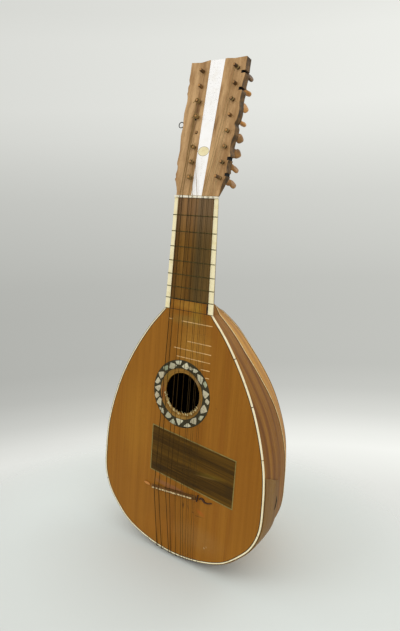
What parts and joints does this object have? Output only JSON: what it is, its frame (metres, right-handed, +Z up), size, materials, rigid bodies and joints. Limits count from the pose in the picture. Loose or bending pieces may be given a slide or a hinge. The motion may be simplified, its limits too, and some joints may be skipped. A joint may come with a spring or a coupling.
{
  "type": "mandolone",
  "caption": "Bass of the mandolin family with a deep ribbed bowl, flat soundboard with rosette, wide fretted neck and a flat tilted head with pegs put in from behind.",
  "frame": {"origin": "middle of the wire hanging eye in the left edge of the head", "axes": "+Z up along the neck, the front of the soundboard faces -Y, +X at the right of someone who looks at the front"},
  "size_m": [0.415, 0.2956, 1.0228],
  "materials": {
    "spruce": "aged varnished spruce, golden brown",
    "rosewood": "grey-brown striped rosewood, satin",
    "dark_wood": "dark rosewood, satin",
    "walnut": "mid-brown walnut, satin",
    "bone": "cream bone, aged",
    "ivory": "white ivory, aged",
    "mother_of_pearl": "mother-of-pearl tiles in dark mastic",
    "golden_wood": "golden brown inlaid wood",
    "string_wire": "tarnished plain and wound wire",
    "peg_wood": "turned fruitwood, worn",
    "inner_wood": "bare spruce",
    "eye_wire": "bent steel wire"
  },
  "bodies": {
    "instrument": {"soundboard": "spruce", "binding": "bone", "rosette_rim": "golden_wood", "rosette_tiles": "mother_of_pearl", "dark_plate": "dark_wood", "plate_border": "bone", "neck": "walnut", "fingerboard": "dark_wood", "edge_strip_left": "bone", "edge_strip_right": "bone", "nut": "bone", "bridge": "dark_wood", "bridge_saddle": "bone", "bridge_end": "dark_wood", "tail_clasp": "rosewood", "neck_block": "inner_wood", "tail_block": "inner_wood", "brace_upper": "inner_wood", "brace_lower": "inner_wood", "rib_1": "rosewood", "rib_2": "rosewood", "rib_3": "rosewood", "rib_4": "rosewood", "rib_5": "rosewood", "rib_6": "rosewood", "rib_7": "rosewood", "rib_8": "rosewood", "rib_9": "rosewood", "string_1": "string_wire", "string_3": "string_wire", "string_6": "string_wire", "string_7": "string_wire", "string_9": "string_wire", "string_11": "string_wire", "string_12": "string_wire", "string_13": "string_wire", "string_14": "string_wire", "string_15": "string_wire", "string_16": "string_wire", "head": "walnut", "head_stripe_upper": "ivory", "head_stripe_lower": "ivory", "head_roundel": "bone", "hanging_eye": "eye_wire"},
    "left_peg_1": {"peg_left_1": "peg_wood"},
    "left_peg_2": {"peg_left_2": "peg_wood"},
    "left_peg_3": {"peg_left_3": "peg_wood"},
    "left_peg_4": {"peg_left_4": "peg_wood"},
    "left_peg_5": {"peg_left_5": "peg_wood"},
    "left_peg_6": {"peg_left_6": "peg_wood"},
    "left_peg_7": {"peg_left_7": "peg_wood"},
    "left_peg_8": {"peg_left_8": "peg_wood"},
    "right_peg_1": {"peg_right_1": "peg_wood"},
    "right_peg_2": {"peg_right_2": "peg_wood"},
    "right_peg_3": {"peg_right_3": "peg_wood"},
    "right_peg_4": {"peg_right_4": "peg_wood"},
    "right_peg_5": {"peg_right_5": "peg_wood"},
    "right_peg_6": {"peg_right_6": "peg_wood"},
    "right_peg_7": {"peg_right_7": "peg_wood"},
    "right_peg_8": {"peg_right_8": "peg_wood"}
  },
  "joints": [
    {"name": "left_peg_1_turn", "type": "hinge", "parent": "instrument", "child": "left_peg_1", "pos_m": [0.0405, 0.01566, 0.09775], "axis": [0, -0.9874, 0.1582], "continuous": true},
    {"name": "left_peg_2_turn", "type": "hinge", "parent": "instrument", "child": "left_peg_2", "pos_m": [0.042, 0.01098, 0.06853], "axis": [0, -0.9874, 0.1582], "continuous": true},
    {"name": "left_peg_3_turn", "type": "hinge", "parent": "instrument", "child": "left_peg_3", "pos_m": [0.0435, 0.0063, 0.0393], "axis": [0, -0.9874, 0.1582], "continuous": true},
    {"name": "left_peg_4_turn", "type": "hinge", "parent": "instrument", "child": "left_peg_4", "pos_m": [0.045, 0.00161, 0.01007], "axis": [0, -0.9874, 0.1582], "continuous": true},
    {"name": "left_peg_5_turn", "type": "hinge", "parent": "instrument", "child": "left_peg_5", "pos_m": [0.0465, -0.00307, -0.01916], "axis": [0, -0.9874, 0.1582], "continuous": true},
    {"name": "left_peg_6_turn", "type": "hinge", "parent": "instrument", "child": "left_peg_6", "pos_m": [0.048, -0.00775, -0.04838], "axis": [0, -0.9874, 0.1582], "continuous": true},
    {"name": "left_peg_7_turn", "type": "hinge", "parent": "instrument", "child": "left_peg_7", "pos_m": [0.0495, -0.01243, -0.07761], "axis": [0, -0.9874, 0.1582], "continuous": true},
    {"name": "left_peg_8_turn", "type": "hinge", "parent": "instrument", "child": "left_peg_8", "pos_m": [0.051, -0.01711, -0.10684], "axis": [0, -0.9874, 0.1582], "continuous": true},
    {"name": "right_peg_1_turn", "type": "hinge", "parent": "instrument", "child": "right_peg_1", "pos_m": [0.1195, 0.01566, 0.09775], "axis": [0, -0.9874, 0.1582], "continuous": true},
    {"name": "right_peg_2_turn", "type": "hinge", "parent": "instrument", "child": "right_peg_2", "pos_m": [0.1195, 0.01098, 0.06853], "axis": [0, -0.9874, 0.1582], "continuous": true},
    {"name": "right_peg_3_turn", "type": "hinge", "parent": "instrument", "child": "right_peg_3", "pos_m": [0.1195, 0.0063, 0.0393], "axis": [0, -0.9874, 0.1582], "continuous": true},
    {"name": "right_peg_4_turn", "type": "hinge", "parent": "instrument", "child": "right_peg_4", "pos_m": [0.1195, 0.00161, 0.01007], "axis": [0, -0.9874, 0.1582], "continuous": true},
    {"name": "right_peg_5_turn", "type": "hinge", "parent": "instrument", "child": "right_peg_5", "pos_m": [0.1195, -0.00307, -0.01916], "axis": [0, -0.9874, 0.1582], "continuous": true},
    {"name": "right_peg_6_turn", "type": "hinge", "parent": "instrument", "child": "right_peg_6", "pos_m": [0.1195, -0.00775, -0.04838], "axis": [0, -0.9874, 0.1582], "continuous": true},
    {"name": "right_peg_7_turn", "type": "hinge", "parent": "instrument", "child": "right_peg_7", "pos_m": [0.1195, -0.01243, -0.07761], "axis": [0, -0.9874, 0.1582], "continuous": true},
    {"name": "right_peg_8_turn", "type": "hinge", "parent": "instrument", "child": "right_peg_8", "pos_m": [0.1195, -0.01711, -0.10684], "axis": [0, -0.9874, 0.1582], "continuous": true}
  ]
}
